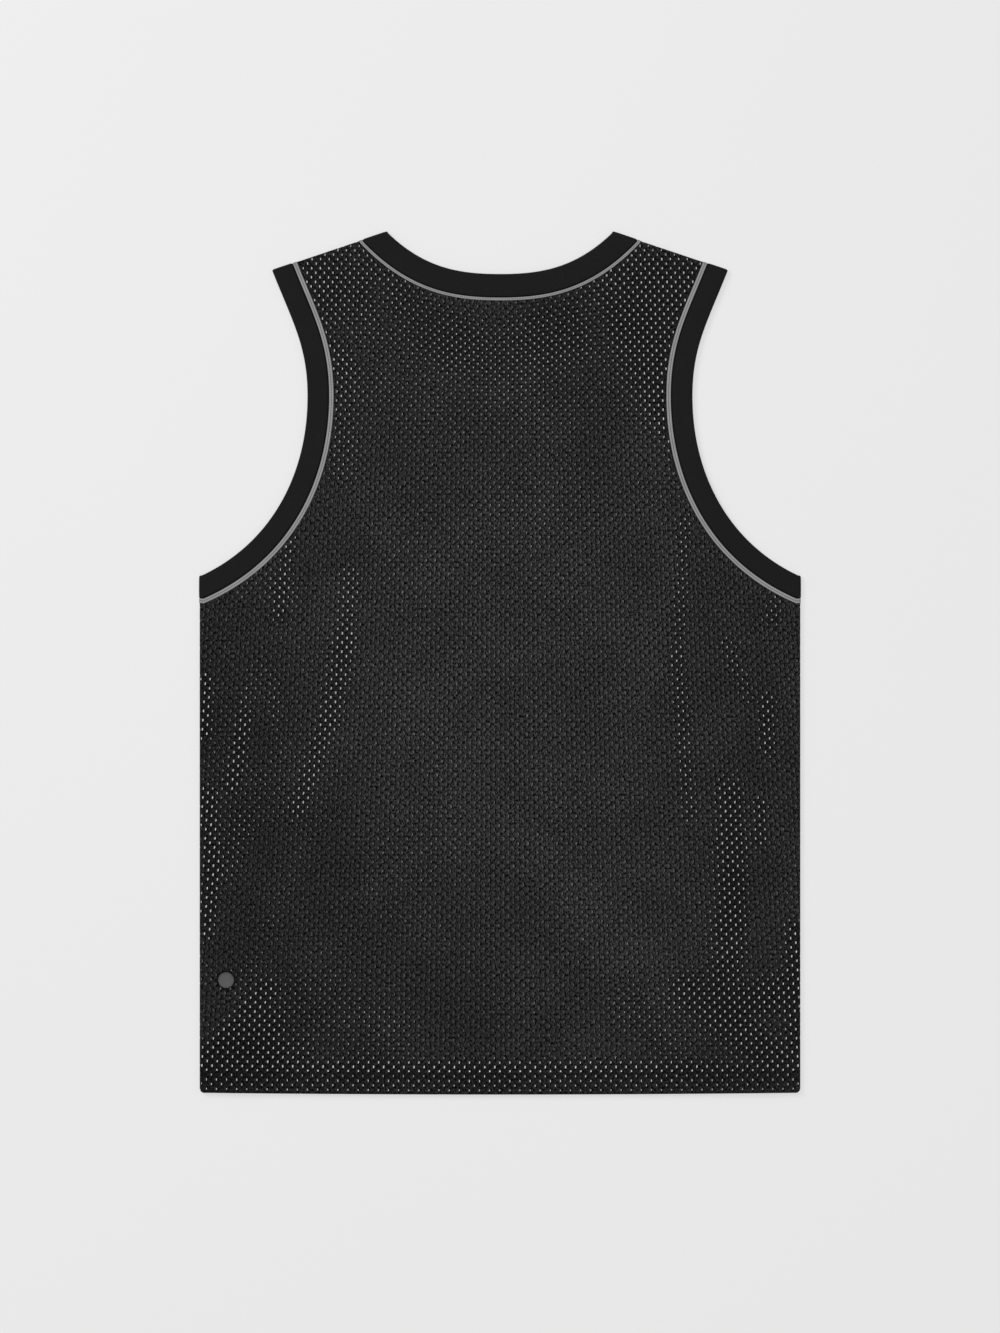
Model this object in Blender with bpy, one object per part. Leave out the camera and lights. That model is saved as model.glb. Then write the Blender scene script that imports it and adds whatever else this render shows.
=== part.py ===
"""Sleeveless mesh sports top, laid out flat with its back up.

Metres, +Z up. +X is to the right with the hem towards the eye, +Y runs from
the hem to the shoulders, and z = 0 is the surface that the front lies on.

Each point of the cloth is given by its place in plan, by its depth below the
cloth's outer face, and by its turn: 0 on the back, which lies on top, pi on the
front, which lies underneath, and between them where the cloth goes round a
shoulder or a side.
"""
import math
from collections import Counter, namedtuple

import bpy
import bmesh
from mathutils import Vector
from mathutils.geometry import delaunay_2d_cdt

# ---- Size of the laid-out garment ----
LENGTH = 0.7599             # neck point to the middle of the hem
HALF_WIDTH = 0.2650         # centre line to the side
HEM_RISE = 0.0016           # the hem's ends lie this much higher than its middle
HEM_CORNER = 0.0040         # radius at the hem's two ends
HEM_DEPTH = 0.0185          # turned-up part of the hem

# ---- Widths of the trim, at right angles to its edge ----
NECK_BAND = 0.0200
NECK_PIPING = 0.0034
ARM_BAND = 0.0183
ARM_PIPING = 0.0048

# ---- Walls ----
BAND_WALL = 0.0020          # knit folded double
BAND_ROUND = 0.0006         # at the band's folded edge
PANEL_WALL = 0.0012         # mesh
HEM_WALL = 0.0020           # mesh turned up on itself
HEM_ROUND = 0.0006          # at the hem's folded edge
HEM_STEP_DOWN = 0.0010      # over which the turned-up part ends
PIPING_WALL = 0.0010
PIPING_SUNK = 0.0002        # the piping lies this much below the cloth beside it
GAP = 0.0003                # between pieces at a seam
STACK = 2 * BAND_WALL + GAP
FOLD_RADIUS = STACK / 2     # outer radius where the cloth goes round a fold

# ---- Blank disc on the back, near the hem ----
DISC_CENTRE = (-0.2410, -0.2792)
DISC_RADIUS = 0.0070
DISC_HEIGHT = 0.0009
DISC_ROUND = 0.0004         # chamfer round its rim
DISC_SIDES = 28

# ---- Edge curves of the right half: x, and drop below the neck point ----
NECK_POINT = (0.1003, 0.0)
SHOULDER_TIP = (0.2008, 0.0338)
NARROWEST = (0.1694, 0.1453)
UNDERARM = (HALF_WIDTH, 0.3042)
NECKLINE = [(NECK_POINT, (0.0672, 0.0328), (0.0358, 0.0377), (0.0, 0.0377))]
ARMHOLE = [(SHOULDER_TIP, (0.1827, 0.0799), (0.1694, 0.1009), NARROWEST),
           (NARROWEST, (0.1694, 0.2148), (0.2019, 0.2758), UNDERARM)]

# ---- Soft swells and hollows of the upper layer ----
# from x, from y, to x, to y, half width, height
SWELLS = [(-0.132, 0.077, -0.170, -0.129, 0.024, 0.0016),
          (-0.183, 0.121, -0.192, 0.038, 0.016, 0.0010),
          (-0.209, -0.011, -0.231, -0.116, 0.018, 0.0012),
          (-0.196, -0.262, -0.236, -0.352, 0.026, 0.0014),
          (0.167, 0.139, 0.163, -0.134, 0.022, 0.0011),
          (0.207, -0.112, 0.194, -0.266, 0.024, 0.0018),
          (0.154, -0.270, 0.226, -0.352, 0.028, 0.0015),
          (-0.060, -0.060, -0.040, -0.300, 0.050, -0.0007),
          (0.080, 0.040, 0.090, -0.240, 0.044, -0.0006)]
CALM_EDGE = 0.030           # the swells fade out this far from a side or shoulder

# ---- Fineness ----
CURVE_STEP = 0.0115         # along the neck and the armholes
BLEND_STEPS = 5             # cross lines that swing from a curve's normal to a fold
CURVE_SAMPLES = 160         # on each span, to measure its length
HEM_STEP = 0.022
CORNER_SHARES = (-0.25, 0.0, 0.25, 0.5, 0.75, 0.92, 1.0)   # hem points from fold to seam
LIP_STEP = 0.022            # along the folded sides and shoulders
BACK_GRID = 0.021           # between points inside the back panel
FRONT_GRID = 0.038          # the front panel is flat
FOLD_TURNS = [math.radians(turn) for turn in (45, 90, 135)]
LIP_TURN = math.radians(86)     # where a panel ends in its side or shoulder seam
TINY = 1e-7
MERGE = 1e-6                # places this close on the cut are one

Fold = namedtuple("Fold", "start along out")
Station = namedtuple("Station", "base across turn out")


def flipped(vector):
    """The same place or direction in the left half."""
    return Vector((-vector.x, vector.y))


def plan(point):
    """Place in plan of a point given as x and drop."""
    return Vector((point[0], LENGTH / 2 - point[1]))


def shoulder_fold():
    """Line about which the cloth goes over the right shoulder."""
    neck = plan(NECK_POINT)
    along = (plan(SHOULDER_TIP) - neck).normalized()
    out = Vector((-along.y, along.x))
    return Fold(neck - out * FOLD_RADIUS, along, out)


SHOULDER = shoulder_fold()
SIDE = Fold(Vector((HALF_WIDTH - FOLD_RADIUS, 0.0)), Vector((0.0, -1.0)), Vector((1.0, 0.0)))
LIP_X = SIDE.start.x + FOLD_RADIUS * LIP_TURN
FLAT = Vector((0.0, 0.0))


def beyond(fold, spot):
    """How far a place in the right half lies past a fold line."""
    return (spot - fold.start).dot(fold.out)


def smooth(value):
    """From 0 to 1 with level ends."""
    value = min(max(value, 0.0), 1.0)
    return value * value * (3 - 2 * value)


def lift(spot):
    """Height that the swells add to the upper layer."""
    total = 0.0
    for x0, y0, x1, y1, half_width, height in SWELLS:
        start = Vector((x0, y0))
        run = Vector((x1, y1)) - start
        share = min(max((spot - start).dot(run) / run.length_squared, 0.0), 1.0)
        distance = (spot - start - run * share).length
        total += height * math.exp(-(distance / half_width) ** 2)
    right = Vector((abs(spot.x), spot.y))
    for fold in (SHOULDER, SIDE):
        total *= smooth(-beyond(fold, right) / CALM_EDGE)
    return total


def place(base, depth, turn, out):
    """A point of the cloth in space."""
    radius = FOLD_RADIUS - depth
    spot = base + out * (radius * math.sin(turn))
    height = FOLD_RADIUS + radius * math.cos(turn)
    if turn == 0.0:
        height += lift(spot)
    return Vector((spot.x, spot.y, height))


# ---- Edge curves and the cross lines along them ----
def bezier(span, t):
    a, b, c, d = (plan(point) for point in span)
    s = 1 - t
    return a * s ** 3 + b * (3 * s * s * t) + c * (3 * s * t * t) + d * t ** 3


def walk(spans, end_fold):
    """Evenly spaced places on a curve, from the shoulder's fold line to its end."""
    trail = [bezier(span, k / CURVE_SAMPLES) for span in spans
             for k in range(CURVE_SAMPLES + 1)]
    folds = [SHOULDER, end_fold] if end_fold else [SHOULDER]
    trail = [spot for spot in trail if all(beyond(fold, spot) <= 0 for fold in folds)]
    for fold, end in zip(folds, (0, -1)):
        trail[end] = trail[end] - fold.out * beyond(fold, trail[end])
    lengths = [0.0]
    for before, after in zip(trail, trail[1:]):
        lengths.append(lengths[-1] + (after - before).length)
    count = round(lengths[-1] / CURVE_STEP)
    spots = []
    k = 0
    for number in range(count + 1):
        wanted = lengths[-1] * number / count
        while k < len(trail) - 2 and lengths[k + 1] < wanted:
            k += 1
        share = (wanted - lengths[k]) / max(lengths[k + 1] - lengths[k], TINY)
        spots.append(trail[k].lerp(trail[k + 1], share))
    return spots


def edge_stations(spans, cloth_side, start_along, end_fold, turn):
    """Stations along an edge. Their cross lines swing into the fold lines at its ends.

    cloth_side is 1 where the cloth lies to the left of the walk, -1 to its right.
    A cross line is scaled so that the trim has its full width at right angles.
    """
    spots = walk(spans, end_fold)
    last = len(spots) - 1
    stations = []
    for k, spot in enumerate(spots):
        step = spots[min(k + 1, last)] - spots[max(k - 1, 0)]
        normal = Vector((-step.y, step.x)).normalized() * cloth_side
        if k == last and not end_fold:
            normal = Vector((0.0, -1.0))
        across = normal
        swing = max(0.0, 1 - k / BLEND_STEPS) ** 2
        across = across.lerp(start_along, swing)
        if end_fold:
            swing = max(0.0, 1 - (last - k) / BLEND_STEPS) ** 2
            across = across.lerp(end_fold.along, swing)
        stations.append(Station(spot, across / across.dot(normal), turn, FLAT))
    return stations


NECK_BACK = edge_stations(NECKLINE, 1, SHOULDER.along, None, 0.0)
NECK_FRONT = edge_stations(NECKLINE, 1, SHOULDER.along, None, math.pi)
ARM_BACK = edge_stations(ARMHOLE, -1, -SHOULDER.along, SIDE, 0.0)
ARM_FRONT = edge_stations(ARMHOLE, -1, -SHOULDER.along, SIDE, math.pi)


def on_fold(back, front, turn, fold):
    """The station at one turn of a fold, between the two layers' own stations."""
    share = turn / math.pi
    return Station(back.base.lerp(front.base, share),
                   back.across.lerp(front.across, share), turn, fold.out)


def neck_over(turn):
    return on_fold(NECK_BACK[0], NECK_FRONT[0], turn, SHOULDER)


def arm_over(turn):
    return on_fold(ARM_BACK[0], ARM_FRONT[0], turn, SHOULDER)


def arm_under(turn):
    return on_fold(ARM_BACK[-1], ARM_FRONT[-1], turn, SIDE)


def mirrored(station):
    return Station(flipped(station.base), flipped(station.across), station.turn,
                   flipped(station.out))


def neck_ring():
    """Round the neck, from the middle of the back over the shoulders to the front."""
    over = [neck_over(turn) for turn in FOLD_TURNS]
    right = NECK_BACK[::-1] + over + NECK_FRONT
    left = [mirrored(station) for station in right[1:-1]]
    return right + left[::-1]


def arm_ring(hand):
    """Round an armhole: down the back, under the arm, up the front, over the shoulder."""
    under = [arm_under(turn) for turn in FOLD_TURNS]
    over = [arm_over(turn) for turn in reversed(FOLD_TURNS)]
    stations = ARM_BACK + under + ARM_FRONT[::-1] + over
    return stations if hand > 0 else [mirrored(station) for station in stations]


# ---- Objects ----
def finish(maker, name, material, parent):
    """Turns a bmesh into a named object with its faces pointing out."""
    bmesh.ops.recalc_face_normals(maker, faces=maker.faces)
    mesh = bpy.data.meshes.new(name)
    maker.to_mesh(mesh)
    maker.free()
    mesh.materials.append(material)
    mesh.shade_smooth()
    mesh.set_sharp_from_angle(angle=math.radians(40))
    piece = bpy.data.objects.new(name, mesh)
    bpy.context.scene.collection.objects.link(piece)
    piece.parent = parent


def ring(name, stations, section, material, parent):
    """A strip swept round a closed row of stations. section: width and depth pairs."""
    maker = bmesh.new()
    rows = []
    for station in stations:
        row = []
        for width, depth in section:
            base = station.base + station.across * width
            row.append(maker.verts.new(place(base, depth, station.turn, station.out)))
        rows.append(row)
    for row, following in zip(rows, rows[1:] + rows[:1]):
        for k, corner in enumerate(row):
            j = (k + 1) % len(row)
            maker.faces.new((corner, row[j], following[j], following[k]))
    finish(maker, name, material, parent)


def band_section(width):
    """Folded double: round at the finished edge, square at the seam."""
    middle = width / 2
    return [(BAND_ROUND, 0.0), (middle, 0.0), (width, 0.0),
            (width, BAND_WALL), (middle, BAND_WALL), (BAND_ROUND, BAND_WALL),
            (0.0, BAND_WALL - BAND_ROUND), (0.0, BAND_ROUND)]


def piping_section(band, width):
    """Flat strip beside a band, set a little below the cloth on both its sides."""
    start = band + GAP
    bottom = PIPING_SUNK + PIPING_WALL
    return [(start, PIPING_SUNK), (start + width, PIPING_SUNK),
            (start + width, bottom), (start, bottom)]


# ---- Panels, worked out on their flat cut, with the folds rolled out ----
NECK_TRIM = NECK_BAND + NECK_PIPING + 2 * GAP
ARM_TRIM = ARM_BAND + ARM_PIPING + 2 * GAP


def rolled_out(station, width):
    """Place on the flat cut of a point on a cross line."""
    turn = min(station.turn, math.pi - station.turn)
    return station.base + station.across * width + station.out * (FOLD_RADIUS * turn)


def between(start, end, step):
    """Evenly spaced places from start to end, both left out."""
    count = max(round((end - start).length / step), 1)
    return [start.lerp(end, k / count) for k in range(1, count)]


def line(start, end, step):
    return [start] + between(start, end, step) + [end]


def hem_height(x):
    """y of the hem's edge: it sags in the middle and is rounded at its ends."""
    height = HEM_RISE * (x / HALF_WIDTH) ** 2 - LENGTH / 2
    past = abs(x) - (LIP_X - HEM_CORNER)
    if past > 0:
        height += HEM_CORNER - math.sqrt(max(HEM_CORNER ** 2 - past ** 2, 0.0))
    return height


def hem_line(above):
    """A row of places at one height above the hem's edge, over its whole width."""
    flat_xs = [HEM_STEP * k for k in range(int(SIDE.start.x / HEM_STEP))]
    xs = flat_xs + [SIDE.start.x + (LIP_X - SIDE.start.x) * share for share in CORNER_SHARES]
    xs = [-x for x in reversed(xs[1:])] + xs
    return [Vector((x, hem_height(x) + above)) for x in xs]


def half_outline(neck, arm, layer):
    """Right half of a panel's edge, from the middle of the hem to the middle of the neck.

    layer gives the turn on this panel for a turn on the back.
    """
    turns = [layer(turn) for turn in (FOLD_TURNS[0], LIP_TURN)]
    hem = [spot for spot in hem_line(0.0) if spot.x >= 0]
    under = [rolled_out(arm_under(turn), ARM_TRIM) for turn in reversed(turns)]
    armhole = [rolled_out(station, ARM_TRIM) for station in reversed(arm)]
    over = [rolled_out(arm_over(turn), ARM_TRIM) for turn in turns]
    collar = [rolled_out(neck_over(turn), NECK_TRIM) for turn in reversed(turns)]
    neckline = [rolled_out(station, NECK_TRIM) for station in neck]
    side = between(hem[-1], under[0], LIP_STEP)
    shoulder = between(over[-1], collar[0], LIP_STEP)
    return hem + side + under + armhole + over + shoulder + collar + neckline


def bend_lines(layer):
    """Rows of places along which the panel bends round its folds, or its hem ends."""
    lines = []
    for turn in (layer(0.0), layer(FOLD_TURNS[0])):
        top = rolled_out(arm_under(turn), ARM_TRIM)
        foot = Vector((top.x, hem_height(top.x)))
        tip = rolled_out(arm_over(turn), ARM_TRIM)
        collar = rolled_out(neck_over(turn), NECK_TRIM)
        for start, end in ((foot, top), (tip, collar)):
            right = line(start, end, LIP_STEP)
            lines += [right, [flipped(spot) for spot in right]]
    lines += [hem_line(above) for above in (HEM_ROUND, HEM_DEPTH, HEM_DEPTH + HEM_STEP_DOWN)]
    return lines


def is_inside(spot, outline, margin):
    """Whether a place is inside an outline, and clear of it by the margin."""
    inside = False
    for a, b in zip(outline, outline[1:] + outline[:1]):
        run = b - a
        share = min(max((spot - a).dot(run) / run.length_squared, 0.0), 1.0)
        if (spot - a - run * share).length < margin:
            return False
        if (a.y > spot.y) != (b.y > spot.y):
            inside ^= spot.x < a.x + run.x * (spot.y - a.y) / run.y
    return inside


def lattice(outline, grid):
    """Staggered places inside an outline, clear of its edge and of the hem."""
    spots = []
    row = 0
    y = -LENGTH / 2 + HEM_DEPTH + grid
    while y < LENGTH / 2:
        columns = round(2 * HALF_WIDTH / grid)
        for k in range(columns + 1):
            spot = Vector(((k + row % 2 / 2 - columns / 2) * grid, y))
            if is_inside(spot, outline, grid / 2):
                spots.append(spot)
        row += 1
        y += grid * math.sqrt(3) / 2
    return spots


def wall_depths(spot):
    """Depths of the cloth's outer and inner face at a place on the cut."""
    above = spot.y - hem_height(spot.x)
    if above < TINY:
        return HEM_ROUND, HEM_WALL - HEM_ROUND
    if above < HEM_DEPTH + TINY:
        return 0.0, HEM_WALL
    return 0.0, PANEL_WALL


def on_panel(spot, depth, layer):
    """Point in space for a place on the cut, rolled round the fold it lies beyond.

    The back panel stays half a gap above the middle of the stack, the front below it.
    """
    right = Vector((abs(spot.x), spot.y))
    turn, out = 0.0, FLAT
    for fold in (SIDE, SHOULDER):
        past = beyond(fold, right)
        if past > TINY:
            turn, out = past / FOLD_RADIUS, fold.out
            right = right - out * past
    if spot.x < 0:
        right, out = flipped(right), flipped(out)
    point = place(right, depth, layer(turn), out)
    on_back = layer(0.0) == 0.0
    if on_back:
        point.z = max(point.z, FOLD_RADIUS + GAP / 2)
    else:
        point.z = min(point.z, FOLD_RADIUS - GAP / 2)
    return point


def panel(name, neck, arm, layer, grid, material, parent):
    """One mesh panel: its cut is triangulated flat, then rolled round its folds."""
    half = half_outline(neck, arm, layer)
    outline = half + [flipped(spot) for spot in reversed(half) if spot.x > TINY]
    spots = outline + lattice(outline, grid)
    edges = []
    for row in bend_lines(layer):
        edges += [(len(spots) + k, len(spots) + k + 1) for k in range(len(row) - 1)]
        spots += row
    inside_only = 1
    cut = delaunay_2d_cdt(spots, edges, [list(range(len(outline)))], inside_only, MERGE)
    flat, triangles = cut[0], cut[2]

    maker = bmesh.new()
    used = sorted({corner for triangle in triangles for corner in triangle})
    outer, inner = {}, {}
    for corner in used:
        outer_depth, inner_depth = wall_depths(flat[corner])
        outer[corner] = maker.verts.new(on_panel(flat[corner], outer_depth, layer))
        inner[corner] = maker.verts.new(on_panel(flat[corner], inner_depth, layer))
    sides = Counter()
    for triangle in triangles:
        maker.faces.new([outer[corner] for corner in triangle])
        maker.faces.new([inner[corner] for corner in reversed(triangle)])
        for a, b in zip(triangle, triangle[1:] + triangle[:1]):
            sides[frozenset((a, b))] += 1
    for side, count in sides.items():
        if count == 1:
            a, b = side
            maker.faces.new((outer[a], outer[b], inner[b], inner[a]))
    finish(maker, name, material, parent)


def disc(name, material, parent):
    """Blank round disc, its points standing off the cloth under it."""
    maker = bmesh.new()
    centre = Vector(DISC_CENTRE)

    def point(radius, height, k):
        angle = 2 * math.pi * k / DISC_SIDES
        spot = centre + Vector((math.cos(angle), math.sin(angle))) * radius
        return maker.verts.new((spot.x, spot.y, STACK + GAP + lift(spot) + height))

    profile = [(DISC_RADIUS, 0.0), (DISC_RADIUS, DISC_HEIGHT - DISC_ROUND),
               (DISC_RADIUS - DISC_ROUND, DISC_HEIGHT)]
    rings = [[point(radius, height, k) for k in range(DISC_SIDES)] for radius, height in profile]
    for low, high in zip(rings, rings[1:]):
        for k in range(DISC_SIDES):
            j = (k + 1) % DISC_SIDES
            maker.faces.new((low[k], low[j], high[j], high[k]))
    for rim, height in ((rings[0], 0.0), (rings[-1], DISC_HEIGHT)):
        middle = point(0.0, height, 0)
        for k in range(DISC_SIDES):
            maker.faces.new((rim[k], rim[(k + 1) % DISC_SIDES], middle))
    finish(maker, name, material, parent)


def finish_material(name, grey, roughness):
    """A dull cloth or rubber finish of one sRGB grey."""
    material = bpy.data.materials.new(name)
    material.use_nodes = True
    shader = material.node_tree.nodes["Principled BSDF"]
    linear = ((grey / 255 + 0.055) / 1.055) ** 2.4
    shader.inputs["Base Color"].default_value = (linear, linear, linear, 1.0)
    shader.inputs["Roughness"].default_value = roughness
    shader.inputs["Metallic"].default_value = 0.0
    return material


def build():
    for item in list(bpy.data.objects):
        bpy.data.objects.remove(item)
    garment = bpy.data.objects.new("tank_top", None)
    bpy.context.scene.collection.objects.link(garment)

    mesh_knit = finish_material("black_mesh_knit", 34, 0.85)
    plain_knit = finish_material("black_plain_knit", 30, 0.90)
    grey_tape = finish_material("grey_piping_tape", 128, 0.55)
    grey_rubber = finish_material("grey_rubber", 84, 0.60)

    panel("back_panel", NECK_BACK, ARM_BACK, lambda turn: turn, BACK_GRID, mesh_knit, garment)
    panel("front_panel", NECK_FRONT, ARM_FRONT, lambda turn: math.pi - turn, FRONT_GRID,
          mesh_knit, garment)
    ring("neck_band", neck_ring(), band_section(NECK_BAND), plain_knit, garment)
    ring("neck_piping", neck_ring(), piping_section(NECK_BAND, NECK_PIPING), grey_tape, garment)
    for hand, word in ((-1, "left"), (1, "right")):
        ring(word + "_arm_band", arm_ring(hand), band_section(ARM_BAND), plain_knit, garment)
        ring(word + "_arm_piping", arm_ring(hand), piping_section(ARM_BAND, ARM_PIPING),
             grey_tape, garment)
    disc("hem_disc", grey_rubber, garment)


build()
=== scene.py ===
import math
import random
from collections import namedtuple

import bpy
import numpy as np
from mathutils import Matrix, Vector
from mathutils.geometry import delaunay_2d_cdt


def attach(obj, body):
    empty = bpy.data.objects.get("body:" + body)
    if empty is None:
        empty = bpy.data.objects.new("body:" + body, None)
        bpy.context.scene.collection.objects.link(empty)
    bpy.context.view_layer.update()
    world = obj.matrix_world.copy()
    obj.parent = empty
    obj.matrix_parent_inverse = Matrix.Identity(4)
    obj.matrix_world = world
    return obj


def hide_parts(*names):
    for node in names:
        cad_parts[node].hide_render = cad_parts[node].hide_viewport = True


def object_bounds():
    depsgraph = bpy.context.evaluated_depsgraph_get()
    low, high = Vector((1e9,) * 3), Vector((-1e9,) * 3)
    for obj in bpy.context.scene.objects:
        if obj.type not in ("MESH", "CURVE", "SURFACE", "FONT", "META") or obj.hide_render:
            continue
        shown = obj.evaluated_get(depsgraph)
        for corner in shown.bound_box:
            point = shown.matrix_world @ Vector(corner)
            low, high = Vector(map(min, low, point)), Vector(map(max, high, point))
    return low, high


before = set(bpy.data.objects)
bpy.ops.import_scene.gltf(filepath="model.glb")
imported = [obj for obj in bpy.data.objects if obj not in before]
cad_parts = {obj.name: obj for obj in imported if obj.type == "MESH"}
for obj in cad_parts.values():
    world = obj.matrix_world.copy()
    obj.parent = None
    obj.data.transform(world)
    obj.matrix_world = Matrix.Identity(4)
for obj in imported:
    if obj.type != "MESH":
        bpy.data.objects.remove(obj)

# A sleeveless mesh sports top, laid out flat with its back up. Metres, +Z up, the hem
# at -Y. Each point of the cloth has a place in plan, a depth below the cloth's outer
# face and a turn: 0 on the back, pi on the front under it, and between them where the
# cloth goes round a shoulder or a side.

cad_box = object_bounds()
BODY = "root"

# ---- Size of the laid-out garment ----
HALF_WIDTH = cad_box[1].x   # centre line to the side
LENGTH = -2 * cad_box[0].y  # neck point to the middle of the hem
HEM_RISE = 0.0016           # the hem's ends lie this much higher than its middle
HEM_CORNER = 0.0040         # radius at the hem's two ends
HEM_DEPTH = 0.0185          # turned-up part of the hem
NECK_BAND = 0.0200
NECK_PIPING = 0.0034
ARM_BAND = 0.0183
ARM_PIPING = 0.0048
BAND_WALL = 0.0020          # knit folded double
GAP = 0.0003                # between pieces at a seam
STACK = 2 * BAND_WALL + GAP # the two layers
FOLD_RADIUS = STACK / 2     # outer radius where the cloth goes round a fold

# ---- Edge curves of the right half: x, and drop below the neck point ----
NECK_POINT = (0.1003, 0.0)
SHOULDER_TIP = (0.2008, 0.0338)
NARROWEST = (0.1694, 0.1453)
UNDERARM = (HALF_WIDTH, 0.3042)
NECKLINE = [(NECK_POINT, (0.0672, 0.0328), (0.0358, 0.0377), (0.0, 0.0377))]
ARMHOLE = [(SHOULDER_TIP, (0.1827, 0.0799), (0.1694, 0.1009), NARROWEST),
           (NARROWEST, (0.1694, 0.2148), (0.2019, 0.2758), UNDERARM)]
CROSS_SWING = 0.0575        # cross lines swing into a fold line over this length
CURVE_SAMPLES = 400
BAND_STEP = 0.0025          # between the stations of a band
TAPE_STEP = 0.0008          # and of the piping
FOLD_STATIONS = 11          # of a strip, between the back and the front
TAPE_INSET = 0.00040        # the seams draw the piping's two edges in by this much
SEAM_ALLOWANCE = 0.0020     # the bands run on under the piping by this much
SEWN_LINE = (0.00034, 0.00044)      # depths of the line sewn along the piping, by turns
# the faces on either side of the sewn line take the darker tape, painted shade in the sunk line
SEWN_COLUMNS = (4, 5)       # faces of the piping's section on either side of it

# ---- Swells and hollows of the upper layer ----
# from x, from y, to x, to y, half width, height
SWELLS = [(-0.132, 0.077, -0.170, -0.129, 0.024, 0.0016),
          (-0.183, 0.121, -0.192, 0.038, 0.016, 0.0010),
          (-0.209, -0.011, -0.231, -0.116, 0.018, 0.0012),
          (-0.196, -0.262, -0.236, -0.352, 0.026, 0.0014),
          (0.167, 0.139, 0.163, -0.134, 0.022, 0.0011),
          (0.207, -0.112, 0.194, -0.266, 0.024, 0.0018),
          (0.154, -0.270, 0.226, -0.352, 0.028, 0.0015),
          (-0.060, -0.060, -0.040, -0.300, 0.050, -0.0007),
          (0.080, 0.040, 0.090, -0.240, 0.044, -0.0006)]
# soft creases, narrower than the swells and each of its own size
CREASES = [(0.202, 0.050, 0.222, -0.050, 0.0060, -0.0006),
           (0.222, -0.050, 0.236, -0.110, 0.0070, -0.0005),
           (0.236, 0.040, 0.250, -0.052, 0.0050, 0.0005),
           (-0.228, 0.046, -0.206, -0.090, 0.0060, -0.0005),
           (-0.170, 0.080, -0.196, -0.120, 0.0070, 0.0005),
           (-0.250, -0.322, -0.140, -0.268, 0.0080, -0.0006),
           (-0.246, -0.246, -0.172, -0.212, 0.0070, 0.0004),
           (0.250, -0.205, 0.172, -0.262, 0.0080, -0.0006),
           (-0.112, 0.325, -0.099, 0.290, 0.0045, -0.0005),
           (-0.142, 0.292, -0.116, 0.262, 0.0045, -0.0004),
           (0.086, 0.312, 0.090, 0.284, 0.0045, -0.0005),
           (0.150, 0.245, 0.163, 0.170, 0.0060, 0.0004),
           (-0.020, 0.100, 0.060, 0.020, 0.0110, 0.0003),
           (0.060, -0.090, 0.120, -0.200, 0.0100, 0.0003)]
CALM_EDGE = 0.030           # they fade out this far from a side or shoulder
# the front rests flat, and is raised off the floor only along these
FRONT_CREASES = [(-0.150, 0.110, -0.176, -0.100, 0.0075, 0.0007),
                 (0.176, 0.060, 0.190, -0.180, 0.0080, 0.0008),
                 (-0.060, -0.200, 0.040, -0.260, 0.0090, 0.0006),
                 (0.070, 0.180, 0.130, 0.080, 0.0070, 0.0005)]

# ---- The mesh knit ----
PLY_DEPTH = 0.00055         # middle of the mesh below the cloth's outer face
HEM_BEND = 0.00045          # radius of the cloth's middle where the hem turns up
HEM_TAKE = 0.0006           # cloth lost in that bend
HEM_DRAWN = 1.07            # the turned-up part is drawn out by its stitching
SEAM_DITCH = 0.0003         # how far a side or shoulder seam pulls the cloth in
ROW = 0.00402               # from one row of holes to the next
FIRST_ROW = 0.0039          # lowest row above the hem's edge
ROWS_TURNED_UP = 6          # rows below that edge on the flat cut
ROWS_TO_SPARE = 4           # rows above the neck point, which the dip brings down
PITCH = 0.0082              # between holes in a row, half way up
PITCH_SPREAD = 0.00195      # how much wider it gets for each metre towards the hem
HOLE_HALF_WIDTH = 0.00054
HOLE_HALF_HEIGHT = 0.00142
HOLE_STRAY = 0.00008        # how unevenly the holes lie
HOLE_SIZES = (0.95, 1.04)   # and how unevenly they are knitted, as shares of full size
BACK_SEED = 4
FRONT_SEED = 11
WALE_RISE = 0.00024         # the wale along the left of each hole stands up
WALE_WIDTH = 0.0016
WALE_FULLNESS = (0.60, 1.15)        # how unevenly it does, as shares of its rise
KNOT_RISE = 0.00002         # the rest of the knit hardly rises
RIM_FALL = 0.00012          # and the rest of a hole's rim lies lower
# a hole's corners: right, up, both as shares of its half sizes, and rise
HOLE_CORNERS = [(0.0, 1.0, -RIM_FALL), (-1.0, 0.50, WALE_RISE), (-1.0, -0.50, WALE_RISE),
                (0.0, -1.0, -RIM_FALL), (1.0, -0.50, -RIM_FALL), (1.0, 0.50, -RIM_FALL)]
HOLE_MARGIN = 0.0024        # from a hole's centre to the cut edge, at least
WEB_MARGIN = 0.0009         # from the knit's other points to the cut edge
BEND_MARGIN = WEB_MARGIN / 3        # and from the points along its bends
MERGE = 1e-7                # points nearer than this are one
UNDER_PIPING = 0.0020       # the mesh runs on under the piping by this much
OUTLINE_STEP = 0.0040       # between points of the cut edge
BEND_STEP = 0.0024          # and along its bends

# The rows dip below the back neck.
NECK_DIP = 0.0150
NECK_DIP_WIDTH = 0.070
NECK_DIP_FROM = 0.2050      # y where the dip begins
NECK_DIP_RISE = 0.1200      # and the height over which it comes on

# Below the neck the holes are drawn closed, and along the hem's seam open.
TAUT = (-0.060, 0.300, 0.060, 0.300)        # from x, from y, to x, to y
TAUT_REACH = 0.065
TAUT_LOSS = 0.24            # share of their size that they lose
HEM_SEAM = HEM_DEPTH - LENGTH / 2
HEM_SEAM_REACH = 0.006
HEM_SEAM_GAIN = 0.18        # share of their size that they gain

# A hole's top leans to the right, for its height, and leans most on the left side.
LEAN = 0.04
LEAN_MORE = 0.12
LEAN_MOST = (-0.20, -0.10, -0.22, -0.25)    # from x, from y, to x, to y
LEAN_REACH = 0.10

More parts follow.
